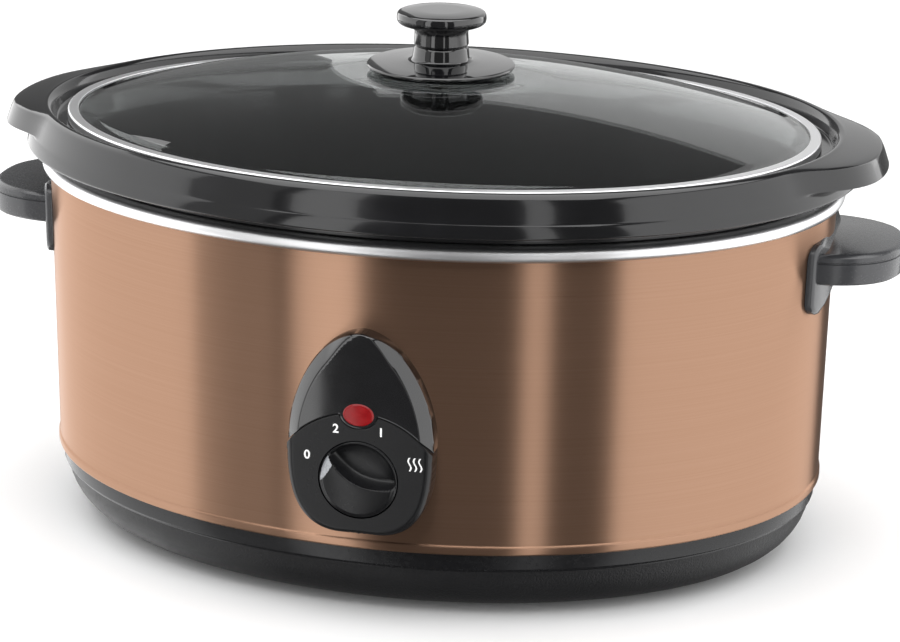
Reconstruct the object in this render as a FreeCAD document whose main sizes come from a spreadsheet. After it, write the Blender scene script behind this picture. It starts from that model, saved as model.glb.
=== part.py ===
import FreeCAD, Part
import Sketcher
import math
import os
import re

# Oval slow cooker, millimetres, +Z up, X along the length, the control panel faces -Y.
# The origin is on the surface that the feet stand on, under the middle of the body.

doc = FreeCAD.newDocument("slow_cooker")
sheet = doc.addObject("Spreadsheet::Sheet", "sizes")

DRIVING = {
    # outer shell
    "body_length": 360.0,
    "body_width": 268.5,
    "shell_height": 130.5,
    "shell_taper": 1.4,
    "shell_wall": 0.8,
    "shell_flange": 9.0,
    "hem_height": 4.5,
    "hem_depth": 0.7,
    # base and feet
    "foot_lift": 1.5,
    "foot_diameter": 18.0,
    "foot_spread_x": 210.0,
    "foot_spread_y": 120.0,
    "base_height": 30.7,
    "skirt_height": 23.2,
    "skirt_inset": 24.5,
    "band_inset": 3.0,
    "base_wall": 2.5,
    "base_floor": 2.5,
    "base_recess": 1.5,
    # heating liner
    "bead_radius": 3.2,
    "bead_overhang": 3.7,
    "liner_wall": 0.8,
    "liner_inset": 8.0,
    "liner_floor_height": 43.0,
    "wall_slope": 0.125,
    "corner_run": 10.0,
    # heating parts
    "band_height": 38.0,
    "band_lift": 84.0,
    "band_thickness": 3.0,
    "band_opening": 14.0,
    "shield_height": 36.0,
    "shield_inset": 26.0,
    "earth_x": 40.0,
    "earth_y": 40.0,
    "bolt_diameter": 6.0,
    # crock
    "crock_gap": 2.6,
    "crock_wall": 8.0,
    "crock_reach": 10.6,
    "crock_lift": 4.7,
    "neck_inset": 3.0,
    "neck_height": 5.6,
    "rim_height": 18.1,
    "ledge_drop": 7.5,
    "ledge_width": 11.0,
    "ear_reach": 25.0,
    "ear_width": 100.0,
    "ear_thickness": 10.5,
    "ear_edge": 2.5,
    # lid
    "lid_inset": 8.2,
    "lid_lip": 0.5,
    "lid_band_depth": 5.0,
    "lid_rise": 21.8,
    "glass_thickness": 3.4,
    "gasket_thickness": 1.5,
    "flange_diameter": 67.0,
    "flange_thickness": 3.3,
    "neck_diameter": 25.0,
    "flange_neck_height": 6.9,
    "knob_diameter": 41.3,
    "knob_height": 16.2,
    "knob_cap": 7.0,
    # control panel
    "panel_width": 63.0,
    "panel_height": 90.0,
    "panel_foot": 41.5,
    "panel_widest": 84.0,
    "panel_proud": 8.0,
    "panel_depth": 24.0,
    "dial_height": 67.1,
    "dial_diameter": 34.0,
    "dial_depth": 5.2,
    "dial_rest_angle": 67.5,
    "fin_height": 3.0,
    "fin_width": 7.0,
    "lens_height": 96.0,
    "lens_width": 15.0,
    "lens_rise": 11.0,
    "lens_depth": 4.0,
    "lens_proud": 0.8,
    "lamp_diameter": 7.0,
    "parting_radius": 39.0,
    "parting_height": 57.5,
    # handles
    "handle_reach": 31.5,
    "handle_width": 76.0,
    "handle_height": 32.0,
    "handle_drop": 41.2,
    "handle_plate": 3.5,
    "grip_height": 14.0,
    "grip_drop": 27.2,
    "grip_corner_share": 0.4,
    "grip_edge": 2.5,
    "plate_corner": 5.0,
    "handle_screw_inset": 5.5,
    # small parts
    "shaft_diameter": 6.0,
    "shaft_tail": 11.0,
    "bushing_diameter": 9.0,
    "switch_inset": 2.6,
    "screw_diameter": 4.0,
    "screw_grip": 9.0,
    "screw_head": 2.2,
    "fuse_diameter": 4.0,
    "wire_diameter": 2.4,
    "gland_diameter": 16.0,
    "gland_bore": 7.0,
    "gland_length": 30.0,
    "gland_height": 17.0,
    # clearances
    "fit_gap": 0.2,
    "running_gap": 0.06,
    "seam_gap": 0.3,
}
for row, (alias, number) in enumerate(DRIVING.items(), start=2):
    sheet.set(f"A{row}", alias)
    sheet.set(f"B{row}", str(number))
    sheet.setAlias(f"B{row}", alias)
doc.recompute()


def size(alias):
    return float(sheet.get(alias))


def tie(thing, prop, formula):
    # The words of a formula are aliases of the sheet.
    thing.setExpression(prop, re.sub(r"[a-z]+(?:_[a-z]+)+", r"sizes.\g<0>", formula))


# Heights and reaches as formulas. A reach is how far an oval stands outside the top edge of the shell.
shell_foot = "(foot_lift + base_height)"
shell_top = "(foot_lift + base_height + shell_height)"
handle_foot = f"({shell_top} - handle_drop)"
grip_foot = f"({shell_top} - grip_drop)"
bead_middle = f"({shell_top} + bead_radius)"
rim_top = f"({shell_top} + 2 * bead_radius)"
crock_seat = f"({rim_top} + fit_gap)"
crock_rim = f"({crock_seat} + neck_height)"
crock_crest = f"({crock_rim} + rim_height)"
lid_seat = f"({crock_crest} - ledge_drop + fit_gap)"
glass_foot = f"({lid_seat} + 0.5)"
panel_front = "(body_width / 2 + panel_proud)"


def wall_reach(inset, height):
    # Reach of a sloping wall that stands inset from the shell at the top of the rim.
    return f"-({inset}) - wall_slope * ({rim_top} - ({height}))"


def part(kind, name, **ties):
    thing = doc.addObject(kind, name)
    for prop, formula in ties.items():
        tie(thing, prop.replace("_", "."), formula)
    return thing


def move(thing, along_x="0", along_y="0", along_z="0"):
    tie(thing, "Placement.Base.x", along_x)
    tie(thing, "Placement.Base.y", along_y)
    tie(thing, "Placement.Base.z", along_z)
    return thing


def turn(thing, axis, angle):
    thing.Placement.Rotation = FreeCAD.Rotation(FreeCAD.Vector(*axis), angle)
    return thing


def oval(reach, height, seam=0):
    ring = part("Part::Ellipse", "oval")
    tie(ring, "MajorRadius", f"body_length / 2 + ({reach})")
    tie(ring, "MinorRadius", f"body_width / 2 + ({reach})")
    turn(ring, (0, 0, 1), seam)
    return move(ring, along_z=height)


def stack(name, sections):
    # A closed solid through ovals in order, flat at its first and last.
    loft = doc.addObject("Part::Loft", name)
    loft.Sections = sections
    loft.Solid = True
    loft.Ruled = True
    return loft


def oval_stack(name, rings, seam=0):
    # seam is where the ovals start and end, as an angle from +X.
    return stack(name, [oval(reach, height, seam) for reach, height in rings])


def cylinder(name, diameter, length, x="0", y="0", z="0", axis="z"):
    rod = part("Part::Cylinder", name)
    tie(rod, "Radius", f"({diameter}) / 2")
    tie(rod, "Height", length)
    if axis == "y":
        turn(rod, (1, 0, 0), -90)
    if axis == "x":
        turn(rod, (0, 1, 0), 90)
    return move(rod, x, y, z)


def box(name, length, width, height, x="0", y="0", z="0"):
    # Centred on x and y, standing on z.
    block = part("Part::Box", name)
    tie(block, "Length", length)
    tie(block, "Width", width)
    tie(block, "Height", height)
    return move(block, f"{x} - ({length}) / 2", f"{y} - ({width}) / 2", z)


def cut(name, base, *tools):
    for tool in tools[:-1]:
        base = pair("Part::Cut", f"{name}_step", base, tool)
    return pair("Part::Cut", name, base, tools[-1])


def pair(kind, name, base, tool):
    result = doc.addObject(kind, name)
    result.Base = base
    result.Tool = tool
    return result


def fuse(name, *shapes):
    joined = doc.addObject("Part::MultiFuse", name)
    joined.Shapes = list(shapes)
    return joined


def group(name, *shapes):
    compound = doc.addObject("Part::Compound", name)
    compound.Links = list(shapes)
    return compound


def rounded(name, base, radius, wanted):
    # Fillets the edges that the test picks.
    doc.recompute()
    edges = [n for n, edge in enumerate(base.Shape.Edges, start=1) if wanted(edge)]
    soft = doc.addObject("Part::Fillet", name)
    soft.Base = base
    soft.Edges = [(n, radius, radius) for n in edges]
    return soft


def revolved(name, outline, x="0", y="0", z="0", axis=(0, 0, 1)):
    # outline holds (radius, height) formulas. The solid turns about its own Z before it is placed.
    body = doc.addObject("PartDesign::Body", name)
    sketch = body.newObject("Sketcher::SketchObject", f"{name}_outline")
    plane = next(f for f in body.Origin.OriginFeatures if f.Role == "XZ_Plane")
    sketch.AttachmentSupport = (plane, [""])
    sketch.MapMode = "FlatFace"
    corners = [FreeCAD.Vector(10 + 3 * k, (7 * k) % 5, 0) for k in range(len(outline))]
    for k, corner in enumerate(corners):
        sketch.addGeometry(Part.LineSegment(corner, corners[(k + 1) % len(corners)]))
    for k in range(len(corners)):
        sketch.addConstraint(Sketcher.Constraint("Coincident", k, 2, (k + 1) % len(corners), 1))
    for k, (radius, height) in enumerate(outline):
        across = sketch.addConstraint(Sketcher.Constraint("DistanceX", -1, 1, k, 1, corners[k].x))
        tie(sketch, f"Constraints[{across}]", radius)
        up = sketch.addConstraint(Sketcher.Constraint("DistanceY", -1, 1, k, 1, corners[k].y))
        tie(sketch, f"Constraints[{up}]", height)
    turned = body.newObject("PartDesign::Revolution", f"{name}_turned")
    turned.Profile = sketch
    turned.ReferenceAxis = (sketch, ["V_Axis"])
    turned.Angle = 360
    body.Tip = turned
    if axis == "y":
        turn(body, (1, 0, 0), 90)
    return move(body, x, y, z)


def named(thing, label):
    thing.Label = label
    return thing


def open_ring(name, outer, inner):
    return cut(name, oval_stack(f"{name}_solid", outer), oval_stack(f"{name}_hollow", inner))


def oval_rod(name, width, height, length, y, z):
    # An elliptical rod along -Y that starts at y.
    ring = part("Part::Ellipse", f"{name}_ring")
    tie(ring, "MajorRadius", f"({width}) / 2")
    tie(ring, "MinorRadius", f"({height}) / 2")
    turn(ring, (1, 0, 0), 90)
    move(ring, "0", y, z)
    return extruded(name, ring, length)


def extruded(name, profile, length, heading=(0, -1, 0)):
    solid = doc.addObject("Part::Extrusion", name)
    solid.Base = profile
    solid.DirMode = "Custom"
    solid.Dir = FreeCAD.Vector(*heading)
    solid.Solid = True
    tie(solid, "LengthFwd", length)
    return solid


def screw(name, x, y, z, axis, head_first):
    # Head towards the inside of the body, shank towards the piece that it holds.
    sign = "-" if head_first else ""
    shank_at = {"x": x, "y": y, "z": z}
    head_at = dict(shank_at)
    shank_at[axis] = f"{shank_at[axis]} - screw_grip" if head_first else shank_at[axis]
    head_at[axis] = head_at[axis] if head_first else f"{head_at[axis]} - screw_head"
    shank = cylinder(f"{name}_shank", "screw_diameter", "screw_grip", *shank_at.values(), axis)
    head = cylinder(f"{name}_head", "screw_diameter * 1.9", "screw_head", *head_at.values(), axis)
    return fuse(f"{name}_solid", shank, head)


# Outer shell: a tapering wrap with a rolled hem, an inward flange at its foot and holes for what it carries.

switch_face = "-(body_width / 2 - switch_inset)"
hem = [
    ("-shell_taper", shell_foot),
    ("hem_depth - shell_taper", f"{shell_foot} + 0.2 * hem_height"),
    ("hem_depth - shell_taper", f"{shell_foot} + 0.8 * hem_height"),
    ("-shell_taper", f"{shell_foot} + hem_height"),
]
wrap = open_ring(
    "wrap",
    hem + [("0", shell_top)],
    [
        ("-shell_taper - shell_flange", shell_foot),
        ("-shell_taper - shell_flange", f"{shell_foot} + shell_wall"),
        ("-shell_taper - shell_wall", f"{shell_foot} + shell_wall"),
        ("-shell_wall", shell_top),
    ],
)

# Places of the screws: panel screws run along Y, handle screws along X.
panel_screw_places = [
    ("panel_width * 0.27", "panel_foot + 9"),
    ("-panel_width * 0.27", "panel_foot + 9"),
    ("panel_width * 0.2", "panel_foot + panel_height - 15"),
    ("-panel_width * 0.2", "panel_foot + panel_height - 15"),
]
handle_screw_places = [("handle_width * 0.3", f"{grip_foot} + grip_height / 2"),
                       ("-handle_width * 0.3", f"{grip_foot} + grip_height / 2")]
screw_start_y = f"{switch_face} + 0.7"
screw_start_x = "body_length / 2 - handle_screw_inset"

shell_tools = [
    cylinder("switch_hole", "bushing_diameter + 2 * fit_gap", "14", "0", f"-{panel_front}", "dial_height", "y"),
    cylinder("lamp_hole", "lamp_diameter + 2 * fit_gap", "14", "0", f"-{panel_front}", "lens_height", "y"),
]
for x, z in panel_screw_places:
    shell_tools.append(
        cylinder("panel_hole", "screw_diameter + 2 * fit_gap", "14", x, f"-{panel_front}", z, "y")
    )
for side in (1, -1):
    for y, z in handle_screw_places:
        start = f"{screw_start_x}" if side == 1 else f"-({screw_start_x}) - 9"
        shell_tools.append(cylinder("handle_hole", "screw_diameter + 2 * fit_gap", "9", start, y, z, "x"))
outer_shell = named(cut("outer_shell", wrap, fuse("shell_holes", *shell_tools)), "outer_shell")

# Heating liner: an oval tub whose edge is rolled over the shell.


def liner_face(inset, floor, extra):
    corner = f"({floor} + corner_run)"
    wall = wall_reach(inset, corner)
    return [
        (f"{wall} - corner_run", floor),
        (f"{wall} - 0.3 * corner_run", f"{floor} + 0.3 * corner_run"),
        (wall, corner),
        (wall_reach(inset, f"({rim_top} - {extra})"), f"{rim_top} - {extra}"),
    ]


bead = []
for step in range(9):
    angle = math.radians(154 + (450 - 154) * step / 8)
    reach = f"bead_overhang - bead_radius + bead_radius * {math.cos(angle):.4f}"
    bead.append((reach, f"{bead_middle} + bead_radius * {math.sin(angle):.4f}"))
under_flange = f"{bead_middle} + bead_radius * {math.sin(math.radians(154)):.4f}"
tub = oval_stack(
    "tub",
    liner_face("liner_inset - liner_wall", "liner_floor_height", "2")
    + [("liner_wall - liner_inset", under_flange)]
    + bead
    + [("-liner_inset + 1", rim_top), ("-liner_inset", f"{rim_top} - 1")]
    + liner_face("liner_inset", "(liner_floor_height + liner_wall)", "2")[::-1],
)
bolt_hole = cylinder("bolt_hole", "bolt_diameter + 2 * fit_gap", "12", z="liner_floor_height - 4")
heating_liner = named(cut("heating_liner", tub, bolt_hole), "heating_liner")

# Heating band round the liner, drawn tight across its gap at the back by two springs.

band_top = "(band_lift + band_height)"
band_inside = "liner_inset - liner_wall - fit_gap / 2"


def band_face(offset):
    return [(f"{wall_reach(band_inside, height)} + {offset}", height) for height in ("band_lift", band_top)]


band_ring = open_ring("band_ring", band_face("band_thickness"), band_face("0"))
band_gap = box("band_gap", "band_opening", "60", "band_height + 4", "0", "body_width / 2", "band_lift - 2")
heating_band = named(cut("heating_band", band_ring, band_gap), "heating_band")
springs = []
for share in (0.25, 0.75):
    height = f"(band_lift + band_height * {share})"
    depth = f"body_width / 2 + {wall_reach(band_inside, height)} + band_thickness / 2 - 0.15"
    springs.append(
        cylinder("spring", "band_thickness * 0.8", "band_opening", "-band_opening / 2", depth, height, "x")
    )
band_springs = named(group("band_springs", *springs), "band_springs")

# Base: a smooth band over a skirt that narrows to the feet.

skirt_line = "-skirt_inset - base_wall"
floor_top = "(foot_lift + base_recess + base_floor)"
tray = oval_stack(
    "tray",
    [
        (skirt_line, "foot_lift + base_recess"),
        (skirt_line, "foot_lift"),
        ("-skirt_inset", "foot_lift"),
        ("-band_inset - 0.4", "foot_lift + skirt_height"),
        ("-band_inset", "foot_lift + skirt_height"),
        ("-band_inset", shell_foot),
        ("-band_inset - base_wall", shell_foot),
        ("-band_inset - base_wall", "foot_lift + skirt_height"),
        (skirt_line, floor_top),
    ],
)
foot_places = [(f"{sx}foot_spread_x / 2", f"{sy}foot_spread_y / 2") for sx in ("", "-") for sy in ("", "-")]
gland_start = "(body_width / 2 + 2 - gland_length)"
tray_tools = [
    cylinder("base_bolt_hole", "bolt_diameter + 2 * fit_gap", "12", z="0"),
    cylinder("gland_hole", "gland_diameter", "gland_length", "0", gland_start, "gland_height", "y"),
]
for x, y in foot_places:
    tray_tools.append(cylinder("foot_hole", "foot_diameter / 3", "12", x, y, "0"))
base = named(cut("base", tray, fuse("tray_holes", *tray_tools)), "base")

feet = []
for x, y in foot_places:
    pad = cylinder("foot_pad", "foot_diameter", "foot_lift + base_recess", x, y, "0")
    stem = cylinder("foot_stem", "foot_diameter / 3", f"{floor_top} + 1.5", x, y, "0")
    barb = cylinder("foot_barb", "foot_diameter / 2", "1.5", x, y, floor_top)
    feet.append(fuse("foot", pad, stem, barb))
rubber_feet = named(group("rubber_feet", *feet), "rubber_feet")

# Heat shield, with the bolt that draws the base up to the liner.

shield_top = "(shield_height + liner_wall)"
shield_plate = oval_stack("shield_plate", [("-shield_inset", "shield_height"), ("-shield_inset", shield_top)])
shield_hole = cylinder("shield_hole", "bolt_diameter + 2 * fit_gap", "8", z="shield_height - 4")
earth_hole = cylinder("earth_hole", "wire_diameter * 2.5", "8", "earth_x", "earth_y", "shield_height - 4")
heat_shield = named(cut("heat_shield", shield_plate, shield_hole, earth_hole), "heat_shield")

nut_foot = "(liner_floor_height + liner_wall)"
bolt_top = f"({nut_foot} + 3.4)"
bolt_head = cylinder("bolt_head", "bolt_diameter * 1.8", "base_recess + 0.7", z="foot_lift - 0.7")
bolt_shank = cylinder("bolt_shank", "bolt_diameter", f"{bolt_top} - foot_lift", z="foot_lift")
tie_bolt = named(fuse("tie_bolt", bolt_head, bolt_shank), "tie_bolt")


def nut(name, across, bore, thick, x, y, z, axis):
    hexagon = part("Part::Prism", f"{name}_hexagon")
    hexagon.Polygon = 6
    tie(hexagon, "Circumradius", f"({across}) / 1.732")
    tie(hexagon, "Height", thick)
    if axis == "y":
        turn(hexagon, (1, 0, 0), 90)
    move(hexagon, x, y, z)
    start = f"{y} - ({thick})" if axis == "y" else y
    return named(cut(name, hexagon, cylinder(f"{name}_bore", bore, thick, x, start, z, axis)), name)


tie_nut = nut("tie_nut", "bolt_diameter * 1.7", "bolt_diameter", "3", "0", "0", nut_foot, "z")
tubes = []
for low, high in ((floor_top, "shield_height"), (shield_top, "liner_floor_height")):
    sleeve = cylinder("sleeve", "bolt_diameter * 1.6", f"{high} - {low}", z=low)
    sleeve_bore = cylinder("sleeve_bore", "bolt_diameter + 2 * fit_gap", f"{high} - {low}", z=low)
    tubes.append(cut("spacer", sleeve, sleeve_bore))
tie_spacers = named(group("tie_spacers", *tubes), "tie_spacers")
thermal_fuse = named(
    cylinder("thermal_fuse", "fuse_diameter", "20", "50", "0", "liner_floor_height - fuse_diameter / 2", "x"),
    "thermal_fuse",
)

# Control panel: an egg-shaped moulding split along an arc into a satin lower half and a gloss cover.


def egg_wire():
    # Two mirrored curves that meet level at the top and the foot.
    half = size("panel_width") / 2
    foot = size("panel_foot")
    middle = size("panel_widest")
    top = foot + size("panel_height")
    curves = []
    for side in (1, -1):
        points = []
        for step in range(15):
            angle = math.pi * (step / 14 - 0.5)
            power, rise = (1.8, top - middle) if step >= 7 else (2.8, middle - foot)
            across = abs(math.cos(angle)) ** (2 / power)
            up = math.copysign(abs(math.sin(angle)) ** (2 / power), angle)
            points.append(FreeCAD.Vector(side * half * across, middle + rise * up, 0))
        points[0].x = points[-1].x = 0
        curve = Part.BSplineCurve()
        level = FreeCAD.Vector(side, 0, 0)
        curve.interpolate(points, InitialTangent=level, FinalTangent=-level)
        curves.append(curve.toShape())
    return Part.Wire([curves[0], curves[1].reversed()])


egg = doc.addObject("Part::Feature", "egg")
egg.Shape = egg_wire()
turn(egg, (1, 0, 0), 90)
move(egg, "0", f"-{panel_front} + panel_depth", "0")
egg_block = extruded("egg_block", egg, "panel_depth")
front_y = -(size("body_width") / 2 + size("panel_proud"))


def wall_behind(seam):
    rings = [("seam_gap / 3 - shell_taper", shell_foot), ("seam_gap / 3", shell_top)]
    return oval_stack("wall_behind", rings, seam)


wall_face = wall_behind(0)
moulding = cut("moulding", egg_block, wall_face)
front_tools = {}
for half, grow in (("lower", "- seam_gap / 2"), ("upper", "+ seam_gap / 2")):
    front_tools[half] = cylinder(
        f"parting_{half}", f"2 * (parting_radius {grow})", "panel_depth + 8",
        "0", f"-{panel_front} - 4", "parting_height", "y",
    )
lens_hole = oval_rod(
    "lens_hole", "lens_width + 2 * fit_gap", "lens_rise + 2 * fit_gap", "lens_depth + 6",
    f"-{panel_front} + lens_depth", "lens_height",
)
lamp_way = cylinder("lamp_way", "lamp_diameter + 2 * fit_gap", "20", "0", f"-{panel_front}", "lens_height", "y")
panel_screw_holes = [
    cylinder("thread", "screw_diameter", "screw_grip", x, f"{screw_start_y} - screw_grip", z, "y")
    for x, z in panel_screw_places
]
recess = cylinder(
    "recess", "dial_diameter + 2 * fit_gap", "dial_depth + fit_gap + 4",
    "0", f"-{panel_front} - 4", "dial_height", "y",
)
bushing_way = cylinder(
    "bushing_way", "bushing_diameter + 2 * fit_gap", "20", "0", f"-{panel_front}", "dial_height", "y",
)
nut_pocket = cylinder(
    "nut_pocket", "18", "10", "0", f"-{panel_front} + dial_depth + fit_gap + 0.9", "dial_height", "y",
)
bored = cut("bored", moulding, fuse("lens_way", lens_hole, lamp_way), *panel_screw_holes)
lower_half = pair("Part::Common", "lower_half", bored, front_tools["lower"])
control_panel = named(cut("control_panel", lower_half, recess, bushing_way, nut_pocket), "control_panel")
panel_cover = named(cut("panel_cover", bored, front_tools["upper"]), "panel_cover")
lens_rod = oval_rod(
    "lens_rod", "lens_width", "lens_rise", "lens_depth + lens_proud", f"-{panel_front} + lens_depth", "lens_height",
)


def is_lens_rim(edge):
    return abs(edge.BoundBox.YMax - front_y + size("lens_proud")) < 0.01


indicator_lens = named(
    rounded("indicator_lens", lens_rod, size("lens_proud") * 0.9, is_lens_rim),
    "indicator_lens",
)
neon_lamp = named(
    cylinder("neon_lamp", "lamp_diameter", "14", "0", f"-{panel_front} + lens_depth", "lens_height", "y"), "neon_lamp",
)
panel_screws = named(
    group("panel_screws", *[screw("panel_screw", x, screw_start_y, z, "y", True) for x, z in panel_screw_places]),
    "panel_screws",
)

# Rotary switch behind the panel, its nut, and the knob and shaft that turn together.

bushing_end = f"-{panel_front} + dial_depth + fit_gap + 1.2"
switch_case = box("switch_case", "26", "14", "26", "0", f"{switch_face} + 7", "dial_height - 13")
bushing = cylinder(
    "bushing", "bushing_diameter", f"{switch_face} - ({bushing_end}) + 1", "0", bushing_end, "dial_height", "y",
)
shaft_way = cylinder(
    "shaft_way", "shaft_diameter + 2 * running_gap", "16", "0", bushing_end, "dial_height", "y",
)
rotary_switch = named(cut("rotary_switch", fuse("switch_body", switch_case, bushing), shaft_way), "rotary_switch")
switch_nut = nut(
    "switch_nut", "14", "bushing_diameter", "1.8", "0", "-(body_width / 2 - 0.75)", "dial_height", "y",
)

knob_back = f"-{panel_front} + dial_depth"
disc = cylinder("disc", "dial_diameter", "dial_depth", "0", f"-{panel_front}", "dial_height", "y")
fin_round = cylinder(
    "fin_round", "dial_diameter - 1.2", "fin_height + 1", "0", f"-{panel_front} - fin_height", "dial_height", "y",
)
fin_bar = box(
    "fin_bar", "fin_width", "fin_height + 1", "dial_diameter",
    "0", f"-{panel_front} - fin_height / 2 + 0.5", "dial_height - dial_diameter / 2",
)
fin = pair("Part::Common", "fin", fin_round, fin_bar)
socket_length = "(dial_depth - 1.6)"
socket = cylinder(
    "socket", "shaft_diameter", socket_length, "0", f"{knob_back} - {socket_length}", "dial_height", "y",
)
upright_knob = cut("upright_knob", fuse("disc_and_fin", disc, fin), socket)
shaft = cylinder(
    "shaft", "shaft_diameter", f"{socket_length} + shaft_tail", "0",
    f"{knob_back} - {socket_length}", "dial_height", "y",
)
turn(upright_knob, (0, 1, 0), -size("dial_rest_angle"))
move(
    upright_knob, "dial_height * sin(dial_rest_angle)", "0", "dial_height * (1 - cos(dial_rest_angle))",
)
selector_knob = named(upright_knob, "selector_knob")
switch_shaft = named(shaft, "switch_shaft")

# Handles: a plate that follows the shell and a rounded ledge to lift by.

grip_inner = "(body_length / 2 - 30)"


def farthest_x(edge):
    return max(abs(edge.BoundBox.XMax), abs(edge.BoundBox.XMin))


def is_tip_corner(edge):
    tip_x = size("body_length") / 2 + size("handle_reach")
    return edge.BoundBox.ZLength > size("grip_height") - 0.1 and farthest_x(edge) > tip_x - 0.3


def is_grip_rim(edge):
    return edge.BoundBox.ZLength < 0.01 and farthest_x(edge) > size("body_length") / 2 - 20


def is_long_level(edge):
    return edge.BoundBox.ZLength < 0.01 and edge.Length > size("ear_width") * 1.6


for side, label in ((1, "right_handle"), (-1, "left_handle")):
    sign = "" if side == 1 else "-"
    grip_middle = f"{sign}({grip_inner} + (30 + handle_reach) / 2)"
    grip_block = box(
        f"{label}_block", "30 + handle_reach", "handle_width - 4", "grip_height", grip_middle, "0", grip_foot,
    )
    grip_corner = size("grip_corner_share") * size("handle_width")
    grip_round = rounded(f"{label}_round", grip_block, grip_corner, is_tip_corner)
    grip_soft = rounded(f"{label}_soft", grip_round, size("grip_edge"), is_grip_rim)
    plate_block = box(
        f"{label}_plate", "60", "handle_width", "handle_height", f"{sign}(body_length / 2)", "0", handle_foot,
    )
    plate_round = rounded(
        f"{label}_plate_round", plate_block, size("plate_corner"), lambda edge: edge.BoundBox.XLength > 59,
    )
    far_seam = 180 if side == 1 else 0
    skin_rings = [("handle_plate - shell_taper", shell_foot), ("handle_plate", shell_top)]
    skin = oval_stack(f"{label}_skin", skin_rings, far_seam)
    plate = pair("Part::Common", f"{label}_plate_skin", plate_round, skin)
    threads = []
    for y, z in handle_screw_places:
        start = f"{screw_start_x}" if side == 1 else f"-({screw_start_x}) - screw_grip"
        threads.append(cylinder("thread", "screw_diameter", "screw_grip", start, y, z, "x"))
    whole = fuse(f"{label}_whole", grip_soft, plate)
    named(cut(label, whole, wall_behind(far_seam), *threads), label)

screws = []
for y, z in handle_screw_places:
    screws.append(screw("right_screw", screw_start_x, y, z, "x", False))
    screws.append(screw("left_screw", f"-({screw_start_x})", y, z, "x", True))
handle_screws = named(group("handle_screws", *screws), "handle_screws")

# Cord gland, terminal block and inner wires.

gland_body = cylinder("gland_body", "gland_diameter", "gland_length", "0", gland_start, "gland_height", "y")
gland_collar = cylinder("gland_collar", "gland_diameter + 3", "2", "0", gland_start, "gland_height", "y")
gland_way = cylinder("gland_way", "gland_bore", "gland_length", "0", gland_start, "gland_height", "y")
cord_gland = named(cut("cord_gland", fuse("gland_solid", gland_body, gland_collar), gland_way), "cord_gland")
block_y = "(body_width / 2 - 54)"
terminal_block = named(box("terminal_block", "34", "20", "16", "0", block_y, floor_top), "terminal_block")


def lead(name, points):
    # A round wire: straight runs joined by arcs that touch them.
    points = [FreeCAD.Vector(*point) for point in points]
    edges = []
    start = points[0]
    for before, here, after in zip(points, points[1:], points[2:]):
        into = (here - before).normalize()
        out = (after - here).normalize()
        half_turn = into.getAngle(out) / 2
        trim = 0.45 * min((here - before).Length, (after - here).Length)
        radius = trim / math.tan(half_turn)
        first = here - into * trim
        last = here + out * trim
        middle_way = (out - into).normalize()
        middle = here + middle_way * (radius / math.cos(half_turn) - radius)
        edges.append(Part.LineSegment(start, first).toShape())
        edges.append(Part.Arc(first, middle, last).toShape())
        start = last
    edges.append(Part.LineSegment(start, points[-1]).toShape())
    path = Part.Wire(edges)
    heading = points[1] - points[0]
    section = Part.Wire(Part.Circle(points[0], heading, size("wire_diameter") / 2).toShape())
    wire = doc.addObject("Part::Feature", name)
    wire.Shape = path.makePipeShell([section], True, False)
    return named(wire, name)


block_front = size("body_width") / 2 - 64
block_back = block_front + 20
inner_floor = size("foot_lift") + size("base_recess") + size("base_floor")
wire_level = inner_floor + 9
switch_under = size("dial_height") - 13
front_way = -(size("body_width") / 2 - 10.2)
shield_edge = size("body_width") / 2 - size("shield_inset")
live_wire = lead("live_wire", [
    (-8, front_way, switch_under),
    (-8, front_way, switch_under - 18),
    (-8, front_way + 18, wire_level + 3),
    (-9, front_way + 62, wire_level + 1),
    (-11, 0, wire_level + 1.5),
    (-10, block_front - 25, wire_level),
    (-10, block_front, wire_level),
])
band_bottom = size("band_lift")
band_slope = size("wall_slope")
band_drop = size("foot_lift") + size("base_height") + size("shell_height") + 2 * size("bead_radius") - band_bottom
band_middle = size("body_width") / 2 - size("liner_inset") - band_slope * band_drop + size("band_thickness") / 2
neutral_wire = lead("neutral_wire", [
    (9, block_back, wire_level),
    (9, block_back + 12, wire_level),
    (14, shield_edge + 9, wire_level + 17),
    (19, shield_edge + 9.5, band_bottom - 30),
    (20, band_middle, band_bottom - 14),
    (20, band_middle, band_bottom),
])
earth_wire = lead("earth_wire", [
    (5, block_front, wire_level),
    (5, block_front - 10, wire_level),
    (size("earth_x") - 6, size("earth_y") + 5, wire_level + 5),
    (size("earth_x"), size("earth_y"), size("shield_height") - 5),
    (size("earth_x"), size("earth_y"), size("liner_floor_height")),
])

# Crock: a thick-walled bowl with a ledge for the lid and an ear at each end.

crock_foot = "(liner_floor_height + liner_wall + crock_lift)"
crock_ledge = f"({crock_crest} - ledge_drop)"
bowl_outside = liner_face("liner_inset + crock_gap", crock_foot, "2")
bowl_outside[-1] = (wall_reach("liner_inset + crock_gap", crock_seat), crock_seat)
bowl_inside = liner_face("liner_inset + crock_gap + crock_wall", f"({crock_foot} + crock_wall)", "2")[:3]
under_ledge = f"({crock_ledge} - 8)"
bowl_inside.append((wall_reach("liner_inset + crock_gap + crock_wall", under_ledge), under_ledge))
rim = [
    ("-neck_inset", crock_seat),
    ("-neck_inset", crock_rim),
    ("crock_reach - 1.2", crock_rim),
    ("crock_reach", f"{crock_rim} + 1.5"),
    ("crock_reach - 5.6", f"{crock_crest} - 3"),
    ("crock_reach - 7.6", f"{crock_crest} - 0.8"),
    ("crock_reach - 9.6", crock_crest),
    ("crock_reach - 11.2", f"{crock_crest} - 0.4"),
    ("crock_reach - 12.8", f"{crock_crest} - 2.4"),
    ("crock_reach - 13.8", crock_ledge),
    ("crock_reach - 13.8 - ledge_width", crock_ledge),
    ("crock_reach - 15.6 - ledge_width", f"{crock_ledge} - 1.2"),
]
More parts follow.
